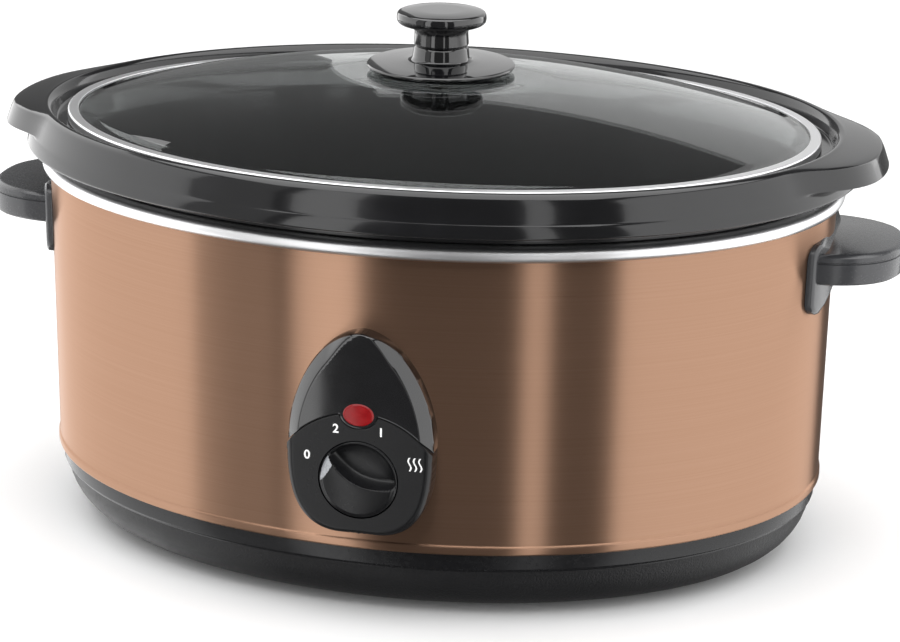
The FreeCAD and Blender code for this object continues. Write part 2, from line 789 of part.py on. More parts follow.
bowl = oval_stack("bowl", bowl_outside + rim + bowl_inside[::-1])


def ear_face(side):
    # Tip, rounded shoulders and flanks that run into the rim.
    reach = size("body_length") / 2
    tip = size("ear_reach")
    half = size("ear_width") / 2
    flank = [(1.0, 0.0), (0.94, 0.26), (0.72, 0.53), (0.38, 0.83), (-0.03, 1.03), (-0.5, 1.24), (-0.95, 1.42)]
    outline = [(reach + tip * out, half * across) for out, across in flank]
    outline = [(x, -y) for x, y in outline[:0:-1]] + outline
    curve = Part.BSplineCurve()
    curve.interpolate([FreeCAD.Vector(side * x, y, 0) for x, y in outline])
    closing = Part.LineSegment(curve.EndPoint, curve.StartPoint)
    return Part.Face(Part.Wire([curve.toShape(), closing.toShape()]))


ears = []
for side in (1, -1):
    flat = doc.addObject("Part::Feature", "ear_outline")
    flat.Shape = ear_face(side)
    move(flat, "0", "0", f"{crock_crest} - 2 - ear_thickness")
    slab = extruded("ear_slab", flat, "ear_thickness", (0, 0, 1))
    ears.append(rounded("ear", slab, size("ear_edge"), is_long_level))
recess_way = oval_stack("recess_way", [("0", f"{crock_rim} - 4"), ("0", f"{crock_crest} + 4")])
open_ears = [cut("open_ear", ear, recess_way) for ear in ears]
crock = named(fuse("crock", bowl, *open_ears), "crock")

# Lid: domed glass in a bright channel, with a knob on a wide flange.

def dome_ring(share, height):
    ring = part("Part::Ellipse", "dome_ring")
    tie(ring, "MajorRadius", f"(body_length / 2 - lid_inset - lid_band_depth - fit_gap) * {share}")
    tie(ring, "MinorRadius", f"(body_width / 2 - lid_inset - lid_band_depth - fit_gap) * {share}")
    rise = (1 - share ** 2) / (1 - dome_shares[-1] ** 2)
    return move(ring, along_z=f"{height} + lid_rise * {rise:.4f}")


dome_shares = [1, 0.94, 0.86, 0.76, 0.64, 0.52, 0.4, 0.28]
glass_top = f"({glass_foot} + glass_thickness)"
dome = stack(
    "dome",
    [dome_ring(share, glass_foot) for share in dome_shares[::-1]]
    + [oval("-lid_inset - lid_lip - 0.5", glass_foot), oval("-lid_inset - lid_lip - 0.5", glass_top)]
    + [dome_ring(share, glass_top) for share in dome_shares],
)
dome_cap = f"({glass_top} + lid_rise)"
glass_hole = cylinder("glass_hole", "screw_diameter + 1", "20", z=f"{dome_cap} - 12")
lid_glass = named(cut("lid_glass", dome, glass_hole), "lid_glass")

channel_top = f"({glass_top} + fit_gap / 2 + lid_lip)"
channel_in = "-lid_inset - lid_band_depth"
channel_wall = "-lid_inset - lid_lip - 0.3"
lid_band = named(
    open_ring(
        "lid_band",
        [
            ("-lid_inset - 0.3", lid_seat),
            ("-lid_inset", f"{lid_seat} + 0.5"),
            ("-lid_inset", f"{channel_top} - 0.8"),
            ("-lid_inset - 0.8", channel_top),
        ],
        [
            (channel_in, lid_seat),
            (channel_in, f"{glass_foot} - fit_gap / 2"),
            (channel_wall, f"{glass_foot} - fit_gap / 2"),
            (channel_wall, f"{glass_top} + fit_gap / 2"),
            (channel_in, f"{glass_top} + fit_gap / 2"),
            (channel_in, channel_top),
        ],
    ),
    "lid_band",
)

gasket_top = f"({dome_cap} + gasket_thickness)"
gasket_disc = cylinder("gasket_disc", "flange_diameter * 0.6", "gasket_thickness", z=dome_cap)
gasket_hole = cylinder("gasket_hole", "screw_diameter + 1", "gasket_thickness", z=dome_cap)
knob_gasket = named(cut("knob_gasket", gasket_disc, gasket_hole), "knob_gasket")

neck = "neck_diameter / 2"
knob_flange = named(
    revolved("knob_flange", [
        ("screw_diameter / 2 + 0.2", "0"),
        ("flange_diameter / 2 - 1", "0"),
        ("flange_diameter / 2", "0.8"),
        ("flange_diameter / 2", "1.8"),
        ("flange_diameter / 2 - 1.5", "2.5"),
        (f"{neck} + 2", "flange_thickness - 0.2"),
        (f"{neck}", "flange_thickness + 1"),
        (f"{neck}", "flange_thickness + flange_neck_height - 0.5"),
        (f"{neck} - 0.5", "flange_thickness + flange_neck_height"),
        ("screw_diameter / 2 + 0.2", "flange_thickness + flange_neck_height"),
    ], z=gasket_top),
    "knob_flange",
)
knob_foot = f"({gasket_top} + flange_thickness + flange_neck_height)"
cap_edge = "knob_diameter / 2"
lid_knob = named(
    revolved("lid_knob", [
        ("screw_diameter / 2", "0"),
        (f"{neck} - 0.5", "0"),
        (f"{neck}", "0.5"),
        (f"{neck}", "knob_height - knob_cap - 0.6"),
        (f"{neck} + 1", "knob_height - knob_cap"),
        (f"{cap_edge} - 2", "knob_height - knob_cap + 0.2"),
        (f"{cap_edge} - 0.5", "knob_height - knob_cap + 1.4"),
        (f"{cap_edge}", "knob_height - knob_cap / 2"),
        (f"{cap_edge} - 0.7", "knob_height - 1.8"),
        (f"{cap_edge} - 3", "knob_height - 0.5"),
        (f"{cap_edge} - 7", "knob_height"),
        ("0", "knob_height"),
        ("0", "knob_height - knob_cap"),
        ("screw_diameter / 2", "knob_height - knob_cap"),
    ], z=knob_foot),
    "lid_knob",
)
washer_foot = f"({dome_cap} - glass_thickness - 1.2)"
washer_disc = cylinder("washer_disc", "18", "1.2", z=washer_foot)
washer_hole = cylinder("washer_hole", "screw_diameter + 2 * fit_gap", "1.2", z=washer_foot)
knob_washer = named(cut("knob_washer", washer_disc, washer_hole), "knob_washer")
knob_shank = cylinder("knob_shank", "screw_diameter", f"{knob_foot} + 7 - {washer_foot}", z=washer_foot)
knob_head = cylinder("knob_head", "screw_diameter * 2", "2.6", z=f"{washer_foot} - 2.6")
knob_screw = named(fuse("knob_screw", knob_shank, knob_head), "knob_screw")

# Every named piece is checked, then written to its own file.

PIECES = [
    outer_shell, heating_liner, heating_band, band_springs, base, rubber_feet, heat_shield, tie_bolt, tie_nut,
    tie_spacers, thermal_fuse, control_panel, panel_cover, indicator_lens, neon_lamp, panel_screws, rotary_switch,
    switch_nut, selector_knob, switch_shaft, doc.getObject("right_handle"), doc.getObject("left_handle"),
    handle_screws, cord_gland, terminal_block, live_wire, neutral_wire, earth_wire, crock, lid_glass, lid_band,
    knob_gasket, knob_flange, lid_knob, knob_washer, knob_screw,
]
doc.recompute()
for thing in doc.Objects:
    if "Invalid" in thing.State or "Error" in thing.State:
        raise RuntimeError(f"{thing.Label} did not build")
for piece in PIECES:
    if piece.Shape.isNull() or not piece.Shape.isValid():
        raise RuntimeError(f"{piece.Label} has no valid shape")

os.makedirs("parts", exist_ok=True)
for piece in PIECES:
    piece.Shape.exportStep(f"parts/{piece.Label}.step")
    print(piece.Label, len(piece.Shape.Solids), round(piece.Shape.Volume))
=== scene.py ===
import math

import bmesh
import bpy
from mathutils import Matrix, Vector


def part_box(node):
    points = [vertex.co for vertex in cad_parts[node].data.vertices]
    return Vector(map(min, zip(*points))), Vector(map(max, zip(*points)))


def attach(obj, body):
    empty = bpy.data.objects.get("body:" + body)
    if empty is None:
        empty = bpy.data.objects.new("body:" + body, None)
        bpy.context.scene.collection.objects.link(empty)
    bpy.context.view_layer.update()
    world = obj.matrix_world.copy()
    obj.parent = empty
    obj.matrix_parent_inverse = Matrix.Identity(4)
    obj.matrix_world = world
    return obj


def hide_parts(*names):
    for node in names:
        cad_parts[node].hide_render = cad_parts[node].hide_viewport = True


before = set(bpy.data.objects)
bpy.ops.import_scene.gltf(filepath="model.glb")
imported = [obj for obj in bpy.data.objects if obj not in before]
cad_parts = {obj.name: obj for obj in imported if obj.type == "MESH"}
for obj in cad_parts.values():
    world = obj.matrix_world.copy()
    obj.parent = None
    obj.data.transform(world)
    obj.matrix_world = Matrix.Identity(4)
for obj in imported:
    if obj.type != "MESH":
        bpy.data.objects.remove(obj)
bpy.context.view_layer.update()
mm = 0.001


def boxOf(node):
    # Corners of a node's box in millimetres.
    low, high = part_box(node)
    return low / mm, high / mm


shellLow, shellHigh = boxOf("outer_shell")
rimLow, rimHigh = boxOf("heating_liner")
baseLow, baseHigh = boxOf("base")
crockLow, crockHigh = boxOf("crock")
bandLow, bandHigh = boxOf("lid_band")
glassLow, glassHigh = boxOf("lid_glass")
flangeLow, flangeHigh = boxOf("knob_flange")
knobLow, knobHigh = boxOf("lid_knob")
lensLow, lensHigh = boxOf("indicator_lens")
coverHigh = boxOf("panel_cover")[1]
panelLow = boxOf("control_panel")[0]
shaftLow, shaftHigh = boxOf("switch_shaft")

halfLength = shellHigh.x
halfWidth = shellHigh.y
flattening = halfLength - halfWidth       # every oval is this much longer than wide, per side
dialMiddle = (shaftLow + shaftHigh) / 2
shellTaper = 1.4                          # the shell draws in by this much from its top edge to its foot


# materials


def newMaterial(name, color, roughness, metallic=0.0, **sockets):
    material = bpy.data.materials.new(name)
    material.use_nodes = True
    shader = material.node_tree.nodes["Principled BSDF"]
    shader.inputs["Base Color"].default_value = (*color, 1)
    shader.inputs["Roughness"].default_value = roughness
    shader.inputs["Metallic"].default_value = metallic
    for socket, value in sockets.items():
        shader.inputs[socket.replace("_", " ")].default_value = value
    return material, material.node_tree.nodes, material.node_tree.links, shader


def makeGroup(name, inputs, outputs):
    tree = bpy.data.node_groups.new(name, "ShaderNodeTree")
    for label, kind, value in inputs:
        socket = tree.interface.new_socket(label, in_out="INPUT", socket_type=kind)
        socket.default_value = value
    for label, kind in outputs:
        tree.interface.new_socket(label, in_out="OUTPUT", socket_type=kind)
    enter = tree.nodes.new("NodeGroupInput")
    leave = tree.nodes.new("NodeGroupOutput")
    return tree, enter, leave


def brushedGrain():
    # Fine level lines, broken along their length, with a few longer and fainter ones.
    tree, enter, leave = makeGroup(
        "brushedGrain",
        [
            ("Along", "NodeSocketFloat", 6.0),
            ("Across", "NodeSocketFloat", 1500.0),
            ("Bright Color", "NodeSocketColor", (1, 1, 1, 1)),
            ("Dark Color", "NodeSocketColor", (0.5, 0.5, 0.5, 1)),
            ("Low Roughness", "NodeSocketFloat", 0.2),
            ("High Roughness", "NodeSocketFloat", 0.35),
        ],
        [("Color", "NodeSocketColor"), ("Roughness", "NodeSocketFloat"), ("Height", "NodeSocketFloat")],
    )
    nodes, links = tree.nodes, tree.links
    place = nodes.new("ShaderNodeTexCoord")
    split = nodes.new("ShaderNodeSeparateXYZ")
    links.new(place.outputs["Object"], split.inputs[0])
    joined = nodes.new("ShaderNodeCombineXYZ")
    for axis, factor in (("X", "Along"), ("Y", "Along"), ("Z", "Across")):
        times = nodes.new("ShaderNodeMath")
        times.operation = "MULTIPLY"
        links.new(split.outputs[axis], times.inputs[0])
        links.new(enter.outputs[factor], times.inputs[1])
        links.new(times.outputs[0], joined.inputs[axis])
    lines = nodes.new("ShaderNodeTexNoise")
    lines.inputs["Scale"].default_value = 1
    lines.inputs["Detail"].default_value = 5
    lines.inputs["Roughness"].default_value = 0.65
    links.new(joined.outputs[0], lines.inputs["Vector"])
    tint = nodes.new("ShaderNodeMix")
    tint.data_type = "RGBA"
    links.new(lines.outputs["Fac"], tint.inputs["Factor"])
    links.new(enter.outputs["Dark Color"], tint.inputs["A"])
    links.new(enter.outputs["Bright Color"], tint.inputs["B"])
    links.new(tint.outputs["Result"], leave.inputs["Color"])
    rough = nodes.new("ShaderNodeMapRange")
    links.new(lines.outputs["Fac"], rough.inputs["Value"])
    links.new(enter.outputs["Low Roughness"], rough.inputs["To Min"])
    links.new(enter.outputs["High Roughness"], rough.inputs["To Max"])
    links.new(rough.outputs[0], leave.inputs["Roughness"])
    links.new(lines.outputs["Fac"], leave.inputs["Height"])
    return tree


def speckle():
    # Uneven gloss and tiny dents: moulded plastic, glaze, dust and rubbed spots.
    tree, enter, leave = makeGroup(
        "speckle",
        [
            ("Scale", "NodeSocketFloat", 400.0),
            ("Patch Scale", "NodeSocketFloat", 18.0),
            ("Color", "NodeSocketColor", (0.02, 0.02, 0.02, 1)),
            ("Worn Color", "NodeSocketColor", (0.04, 0.04, 0.04, 1)),
            ("Low Roughness", "NodeSocketFloat", 0.2),
            ("High Roughness", "NodeSocketFloat", 0.35),
        ],
        [("Color", "NodeSocketColor"), ("Roughness", "NodeSocketFloat"), ("Height", "NodeSocketFloat")],
    )
    nodes, links = tree.nodes, tree.links
    place = nodes.new("ShaderNodeTexCoord")
    fine = nodes.new("ShaderNodeTexNoise")
    fine.inputs["Detail"].default_value = 3
    links.new(place.outputs["Object"], fine.inputs["Vector"])
    links.new(enter.outputs["Scale"], fine.inputs["Scale"])
    patch = nodes.new("ShaderNodeTexNoise")
    patch.inputs["Detail"].default_value = 4
    links.new(place.outputs["Object"], patch.inputs["Vector"])
    links.new(enter.outputs["Patch Scale"], patch.inputs["Scale"])
    both = nodes.new("ShaderNodeMath")
    both.operation = "MULTIPLY"
    links.new(fine.outputs["Fac"], both.inputs[0])
    links.new(patch.outputs["Fac"], both.inputs[1])
    wide = nodes.new("ShaderNodeMapRange")
    wide.inputs["From Min"].default_value = 0.12
    wide.inputs["From Max"].default_value = 0.42
    links.new(both.outputs[0], wide.inputs["Value"])
    tint = nodes.new("ShaderNodeMix")
    tint.data_type = "RGBA"
    links.new(wide.outputs[0], tint.inputs["Factor"])
    links.new(enter.outputs["Color"], tint.inputs["A"])
    links.new(enter.outputs["Worn Color"], tint.inputs["B"])
    links.new(tint.outputs["Result"], leave.inputs["Color"])
    rough = nodes.new("ShaderNodeMapRange")
    links.new(wide.outputs[0], rough.inputs["Value"])
    links.new(enter.outputs["Low Roughness"], rough.inputs["To Min"])
    links.new(enter.outputs["High Roughness"], rough.inputs["To Max"])
    links.new(rough.outputs[0], leave.inputs["Roughness"])
    links.new(fine.outputs["Fac"], leave.inputs["Height"])
    return tree


grainGroup = brushedGrain()
speckleGroup = speckle()


def dress(name, group, values, bump=0.1, depth=0.0001, **shading):
    # A material whose colour, roughness and relief come from one of the groups.
    material, nodes, links, shader = newMaterial(name, (0.5, 0.5, 0.5), 0.3, **shading)
    effect = nodes.new("ShaderNodeGroup")
    effect.node_tree = group
    for label, value in values.items():
        effect.inputs[label].default_value = value
    relief = nodes.new("ShaderNodeBump")
    relief.inputs["Strength"].default_value = bump
    relief.inputs["Distance"].default_value = depth
    links.new(effect.outputs["Color"], shader.inputs["Base Color"])
    links.new(effect.outputs["Roughness"], shader.inputs["Roughness"])
    links.new(effect.outputs["Height"], relief.inputs["Height"])
    links.new(relief.outputs[0], shader.inputs["Normal"])
    return material


def brushed(name, bright, dark, roughness, anisotropy=0.8, across=1500.0, bump=0.08, **shading):
    return dress(
        name, grainGroup,
        {"Bright Color": (*bright, 1), "Dark Color": (*dark, 1), "Low Roughness": roughness[0],
         "High Roughness": roughness[1], "Across": across},
        bump, metallic=1.0, Anisotropic=anisotropy, Anisotropic_Rotation=0.25, **shading,
    )


def moulded(name, color, worn, roughness, scale=400.0, bump=0.08, depth=0.0001, **shading):
    return dress(
        name, speckleGroup,
        {"Color": (*color, 1), "Worn Color": (*worn, 1), "Low Roughness": roughness[0],
         "High Roughness": roughness[1], "Scale": scale},
        bump, depth, **shading,
    )


copperSteel = brushed(
    "copperSteel", (0.36, 0.218, 0.15), (0.29, 0.168, 0.108), (0.25, 0.34), 1.0,
    Specular_Tint=(1.0, 0.86, 0.78, 1),
)
brightSteel = brushed("brightSteel", (0.95, 0.95, 0.96), (0.9, 0.9, 0.91), (0.3, 0.4), 0.0, 900.0, 0.02)
zincSteel = brushed("zincSteel", (0.62, 0.62, 0.6), (0.45, 0.45, 0.44), (0.3, 0.45), 0.2)
brassMetal = brushed("brassMetal", (0.75, 0.58, 0.28), (0.6, 0.44, 0.18), (0.25, 0.4), 0.2)
crockGlaze = moulded(
    "crockGlaze", (0.0025, 0.0025, 0.003), (0.005, 0.005, 0.006), (0.09, 0.17), 60, 0.02, 0.0004,
    Coat_Weight=0.3, Coat_Roughness=0.06,
)
glossBlack = moulded(
    "glossBlack", (0.002, 0.002, 0.0025), (0.004, 0.004, 0.005), (0.05, 0.08), 120, 0.0,
    Coat_Weight=0.8, Coat_Roughness=0.04,
)
satinBlack = moulded(
    "satinBlack", (0.003, 0.003, 0.0036), (0.006, 0.006, 0.007), (0.26, 0.36), 900, 0.06,
    Specular_IOR_Level=0.4,
)
handleBlack = moulded(
    "handleBlack", (0.034, 0.035, 0.038), (0.042, 0.043, 0.047), (0.22, 0.3), 900, 0.03,
    Coat_Weight=0.3, Coat_Roughness=0.15,
)
baseBlack = moulded(
    "baseBlack", (0.003, 0.003, 0.004), (0.006, 0.006, 0.007), (0.2, 0.3), 500, 0.04,
    Specular_IOR_Level=0.4,
)
skirtBlack = moulded(
    "skirtBlack", (0.004, 0.004, 0.005), (0.012, 0.012, 0.013), (0.4, 0.6), 1100, 0.7, 0.0003,
    Specular_IOR_Level=0.35,
)
# A lighter grey copy of the black dial plastic for the pointer facet: a painted highlight in place of the
# softbox reflection the facet catches.
facetPaintedHighlight = moulded("facetPaintedHighlight", (0.3, 0.31, 0.33), (0.36, 0.37, 0.39), (0.25, 0.35), 900, 0.03)
rubberBlack = moulded("rubberBlack", (0.02, 0.02, 0.02), (0.035, 0.035, 0.035), (0.7, 0.85), 700, 0.2)
lensRed = moulded(
    "lensRed", (0.2, 0.002, 0.004), (0.26, 0.006, 0.008), (0.1, 0.2), 500, 0.02, Specular_IOR_Level=0.3
)
switchCream = moulded("switchCream", (0.6, 0.57, 0.5), (0.7, 0.67, 0.6), (0.4, 0.5), 500, 0.1)
micaBrown = moulded("micaBrown", (0.42, 0.33, 0.2), (0.6, 0.5, 0.34), (0.4, 0.6), 120, 0.2)
sleeveTan = moulded("sleeveTan", (0.5, 0.42, 0.32), (0.6, 0.52, 0.42), (0.6, 0.75), 2500, 0.3)
printWhite = moulded("printWhite", (0.85, 0.85, 0.85), (0.95, 0.95, 0.95), (0.4, 0.55), 900, 0.05)
clearGlass = moulded(
    "clearGlass", (0.93, 0.97, 0.96), (0.98, 1.0, 1.0), (0.0, 0.03), 40, 0.0,
    Transmission_Weight=1.0, IOR=1.5, Specular_IOR_Level=0.12,
)
print("materials made")


# meshes


def newPiece(name, bm, material, body, replaced=(), smooth=40):
    # Turns the finished mesh, in millimetres, into an object in metres that rides on its body.
    bmesh.ops.remove_doubles(bm, verts=bm.verts, dist=0.002)
    bmesh.ops.recalc_face_normals(bm, faces=bm.faces)
    bmesh.ops.scale(bm, vec=(mm, mm, mm), verts=bm.verts)
    mesh = bpy.data.meshes.new(name)
    bm.to_mesh(mesh)
    bm.free()
    mesh.materials.append(material)
    piece = bpy.data.objects.new(name, mesh)
    bpy.context.scene.collection.objects.link(piece)
    mesh.polygons.foreach_set("use_smooth", [True] * len(mesh.polygons))
    for face in mesh.polygons:
        if len(face.vertices) > 12:
            face.use_smooth = False
    mesh.set_sharp_from_angle(angle=math.radians(smooth))
    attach(piece, body)
    if replaced:
        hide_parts(*replaced)
    return piece


def outlineMesh(corners, closed):
    # An upright outline in the XZ plane. A corner is (radius, height) or (radius, height, rounding).
    bm = bmesh.new()
    verts = [bm.verts.new((corner[0], 0, corner[1])) for corner in corners]
    pairs = list(zip(verts, verts[1:]))
    if closed:
        pairs.append((verts[-1], verts[0]))
    for first, second in pairs:
        bm.edges.new((first, second))
    for vert, corner in zip(verts, corners):
        if len(corner) > 2:
            bmesh.ops.bevel(bm, geom=[vert], offset=corner[2], offset_type="OFFSET", segments=6,
                            profile=0.5, affect="VERTICES", material=-1)
    return bm


def turned(corners, closed=True, steps=96):
    bm = outlineMesh(corners, closed)
    bmesh.ops.spin(bm, geom=bm.verts[:] + bm.edges[:], cent=(0, 0, 0), axis=(0, 0, 1),
                   angle=2 * math.pi, steps=steps, use_merge=True)
    return bm


def flattened(bm):
    # Presses round rings into the ovals of the body.
    inner = flattening * 2.2
    for vert in bm.verts:
        radius = math.hypot(vert.co.x, vert.co.y)
        if radius < 0.001:
            continue
        width = radius - flattening if radius > inner else radius * (inner - flattening) / inner
        vert.co.y *= width / radius
    return bm


def oval(corners, closed=True, steps=224):
    # Corners are (reach, height): reach is measured outwards from the top edge of the shell.
    return flattened(turned([(halfLength + c[0], *c[1:]) for c in corners], closed, steps))


def joinRings(bm, rings, closed=True):
    for first, second in zip(rings, rings[1:]):
        for step in range(len(first) if closed else len(first) - 1):
            after = (step + 1) % len(first)
            bm.faces.new((first[step], first[after], second[after], second[step]))


def smoothStep(low, high, value):
    share = min(max((value - low) / (high - low), 0), 1)
    return share * share * (3 - 2 * share)


# outer shell, a wrap with a rolled hem


def makeShell():
    hem = {"height": 4.5, "depth": 0.7, "wall": 0.8, "turn": 7.0}
    foot, top = shellLow.z, shellHigh.z
    outside = -shellTaper
    corners = [
        (outside - hem["turn"], foot),
        (outside - 0.2, foot, 0.4),
        (outside + hem["depth"], foot + 0.6, 0.6),
        (outside + hem["depth"], foot + hem["height"] - 0.6, 0.6),
        (outside, foot + hem["height"], 0.4),
        (0, top, 0.3),
        (-hem["wall"], top, 0.3),
        (outside - hem["wall"], foot + hem["wall"]),
        (outside - hem["turn"], foot + hem["wall"]),
    ]
    newPiece("shellWrap", oval(corners), copperSteel, "housing", ["outer_shell"])


# heating liner, an open tub with a bright rolled rim


def makeLiner():
    rim = {"radius": 3.2, "overhang": 3.7, "inset": 8.0, "wall": 0.8, "slope": 0.125}
    middle = rimHigh.z - rim["radius"]
    bead = []
    for step in range(17):
        angle = math.radians(154 + (450 - 154) * step / 16)
        bead.append((rim["overhang"] - rim["radius"] + rim["radius"] * math.cos(angle),
                     middle + rim["radius"] * math.sin(angle)))
    drop = rimHigh.z - (rimLow.z + 10)
    inside = -rim["inset"] - rim["slope"] * drop
    low = rimLow.z
    corners = [
        (-halfLength, low),
        (inside - 2, low, 8),
        (inside + rim["wall"], low + 9),
        (-rim["inset"] + rim["wall"], bead[0][1]),
        *bead,
        (-rim["inset"], rimHigh.z, 1.0),
        (inside, low + 10),
        (inside - 3, low + rim["wall"], 7),
        (-halfLength, low + rim["wall"]),
    ]
    newPiece("linerTub", oval(corners, False), brightSteel, "housing", ["heating_liner"])


# base: a smooth band over a fine-grained skirt


def makeBase():
    tray = {"band": 3.0, "inset": 24.5, "tier": 23.2, "wall": 2.5, "recess": 1.5, "floor": 2.5, "step": 1.4}
    sweep = {"start": math.radians(8), "end": math.radians(80), "steps": 8}
    foot, top = baseLow.z, baseHigh.z
    tier = foot + tray["tier"]
    crest = tier - 1.2
    reach = -tray["band"] - tray["step"]
    skirt = []
    for step in range(sweep["steps"], -1, -1):
        angle = sweep["start"] + (sweep["end"] - sweep["start"]) * step / sweep["steps"]
        inward = (1 - math.cos(angle)) / (1 - math.cos(sweep["end"]))
        fall = math.sin(angle) - math.sin(sweep["start"])
        fall /= math.sin(sweep["end"]) - math.sin(sweep["start"])
        skirt.append((reach - (tray["inset"] - 5) * inward, crest - (crest - foot) * fall))
    corners = [
        (-tray["inset"] - tray["wall"], foot + tray["recess"]),
        (-tray["inset"] - tray["wall"], foot, 0.6),
        *skirt,
        (reach, tier - 0.4, 0.2),
        (-tray["band"], tier + 0.4, 0.5),
        (-tray["band"], top, 0.4),
        (-tray["band"] - tray["wall"], top, 0.4),
        (-tray["band"] - tray["wall"], tier),
        (-tray["inset"] - tray["wall"], foot + tray["recess"] + tray["floor"]),
        (-halfLength, foot + tray["recess"] + tray["floor"]),
    ]
    bm = oval([(-halfLength, foot + tray["recess"])] + corners, False)
    piece = newPiece("baseTray", bm, baseBlack, "housing", ["base"])
    piece.data.materials.append(skirtBlack)
    for face in piece.data.polygons:
        middle = face.center / mm
        if foot + 0.5 < middle.z < tier - 0.9 and abs(face.normal.z) < 0.95:
            face.material_index = 1


# crock: bowl, rim, lid ledge and two ears


earShape = {"reach": 14.2, "half": 62.0, "power": 2.2, "droop": 1.6}


def earBulge(y):
    share = min(abs(y) / earShape["half"], 1) ** earShape["power"]
    return earShape["reach"] * (0.5 + 0.5 * math.cos(math.pi * share))


def makeCrock():
    rise = {"rim": 18.1, "ledge": 7.5, "seat": 0.2}
    reach = {"rim": 10.6, "neck": -3.0, "outside": -10.6, "wall": 8.0, "ledge": -14.2, "slope": 0.125}
    crest, foot = crockHigh.z, crockLow.z
    rimFoot = crest - rise["rim"]
    seat = rimHigh.z + rise["seat"]
    ledge = crest - rise["ledge"]
    low = reach["outside"] - reach["slope"] * (seat - foot - 10)
    corners = [
        (-halfLength, foot),
        (low - 4, foot, 8),
        (low, foot + 10, 3),
        (reach["outside"], seat, 0.5),
        (reach["neck"], seat, 0.8),
        (reach["neck"], rimFoot, 0.8),
        (reach["rim"], rimFoot, 1.6),
        (reach["rim"] - 1.6, rimFoot + 5.0),
        (reach["rim"] - 2.4, rimFoot + 6.2, 0.4),
        (reach["rim"] - 3.0, rimFoot + 7.8, 0.9),
        (reach["rim"] - 5.4, crest - 3.6, 1.6),
        (reach["rim"] - 6.8, crest - 1.2, 1.4),
        (reach["rim"] - 9.9, crest, 1.6),
        (reach["rim"] - 12.4, crest - 2.4, 1.4),
        (reach["rim"] - 13.8, ledge, 1.0),
        (reach["ledge"], ledge, 2.0),
        (reach["outside"] - reach["wall"] - 0.8, ledge - 8, 2.0),
        (low - reach["wall"], foot + reach["wall"] + 10, 5),
        (low - reach["wall"] - 8, foot + reach["wall"], 8),
        (-halfLength, foot + reach["wall"]),
    ]
    bm = oval(corners, False, 288)
    undercut = rimFoot + 6.6
    for vert in bm.verts:
        radius = math.hypot(vert.co.x, vert.co.y * halfLength / halfWidth)
        if vert.co.z < undercut - 0.5 or radius < halfLength + 2.2:
            continue
        above = min(max((vert.co.z - undercut + 0.5) / 1.4, 0), 1)
        below = min(max((crest + 1.4 - vert.co.z) / 3.0, 0), 1)
        shift = earBulge(vert.co.y) * above * (0.35 + 0.65 * below)
        outer = smoothStep(2.2, 4.2, radius - halfLength)
        vert.co.x += math.copysign(shift * outer, vert.co.x)
        vert.co.z -= earShape["droop"] * (shift / earShape["reach"]) * outer
    newPiece("crockBowl", bm, crockGlaze, "crock", ["crock"], 50)


# lid: domed glass in a bright channel


def makeLid():
    edge = {"inset": 8.2, "lip": 0.5, "depth": 5.0, "wall": 0.3, "thick": 3.4}
    foot = glassLow.z
    dome = glassHigh.z - foot - edge["thick"]
    start = halfLength - edge["inset"] - edge["depth"] - 0.2
    rim = halfLength - edge["inset"] - edge["lip"] - 0.5
    rings = []
    for step in range(25):
        share = 1 - step / 25 * (1 - 2.6 / start)
        rise = dome * (1 - share ** 2) / (1 - 0.28 ** 2)
        rings.append((start * share, foot + min(rise, dome)))
    corners = [*rings[::-1], (rim, foot, 0.8), (rim, foot + edge["thick"], 0.8)]
    corners += [(radius, height + edge["thick"]) for radius, height in rings]
    bm = turned(corners, True, 224)
    squeeze = (halfWidth - (halfLength - start)) / start
    for vert in bm.verts:
        vert.co.y *= squeeze
    newPiece("lidDome", bm, clearGlass, "lid", ["lid_glass"])
    low, high = bandLow.z, bandHigh.z
    inner = -edge["inset"] - edge["depth"]
    channel = [
        (-edge["inset"], low, 0.6),
        (-edge["inset"], high, 1.1),
        (inner, high, 0.25),
        (inner, high - edge["lip"]),
        (-edge["inset"] - edge["wall"] - edge["lip"], high - edge["lip"]),
        (-edge["inset"] - edge["wall"] - edge["lip"], low + edge["lip"] - 0.1),
        (inner, low + edge["lip"] - 0.1),
        (inner, low, 0.2),
    ]
    newPiece("lidChannel", oval(channel), brightSteel, "lid", ["lid_band"])


# lid knob and its wide flange


def makeKnob():
    knob = {"neck": 12.5, "cap": 7.0, "flangeBore": 2.2, "bore": 2.0}
    neck, cap = knob["neck"], knob["cap"]
    low, high = flangeLow.z, flangeHigh.z
    wide = flangeHigh.x
    corners = [
        (knob["flangeBore"], low),
        (wide - 1.5, low, 0.6),
        (wide, low + 1.0, 0.6),
        (wide - 0.4, low + 2.2, 0.7),
        (neck + 9, low + 3.0, 3.0),
        (neck + 0.6, low + 3.6, 1.8),
        (neck - 0.2, high - 0.9, 0.3),
        (neck - 0.8, high, 0.3),
        (knob["flangeBore"], high),
    ]
    newPiece("knobFlange", turned(corners), glossBlack, "lid", ["knob_flange"])
    low, high = knobLow.z, knobHigh.z
    wide = knobHigh.x
    corners = [
        (knob["bore"], low),
        (neck - 0.8, low, 0.3),
        (neck - 0.1, low + 0.8, 0.4),
        (neck - 0.6, high - cap - 1.0, 2.5),
        (neck + 3.0, high - cap + 0.2, 2.0),
        (wide - 1.5, high - cap + 0.6, 1.4),
        (wide, high - cap / 2, 2.2),
        (wide - 1.2, high - 0.9, 1.4),
        (wide - 8.0, high, 3.0),
        (0.0, high),
        (0.0, high - cap),
        (knob["bore"], high - cap),
    ]
    newPiece("lidKnob", turned(corners, False), glossBlack, "lid", ["lid_knob"])


# control panel: satin lower half, gloss cover with bevelled flanks, lens, dial and printed marks

panelShape = {"half": 31.5, "middle": 84.0, "round": 1.8, "lowRound": 3.0, "gap": 0.14, "arc": 39.0,
              "arcHeight": 57.5, "proud": 8.0, "wave": 0.9}
panelFront = -halfWidth - panelShape["proud"]
lensMiddle = (lensLow + lensHigh) / 2
lensHalf = (lensHigh - lensLow) / 2


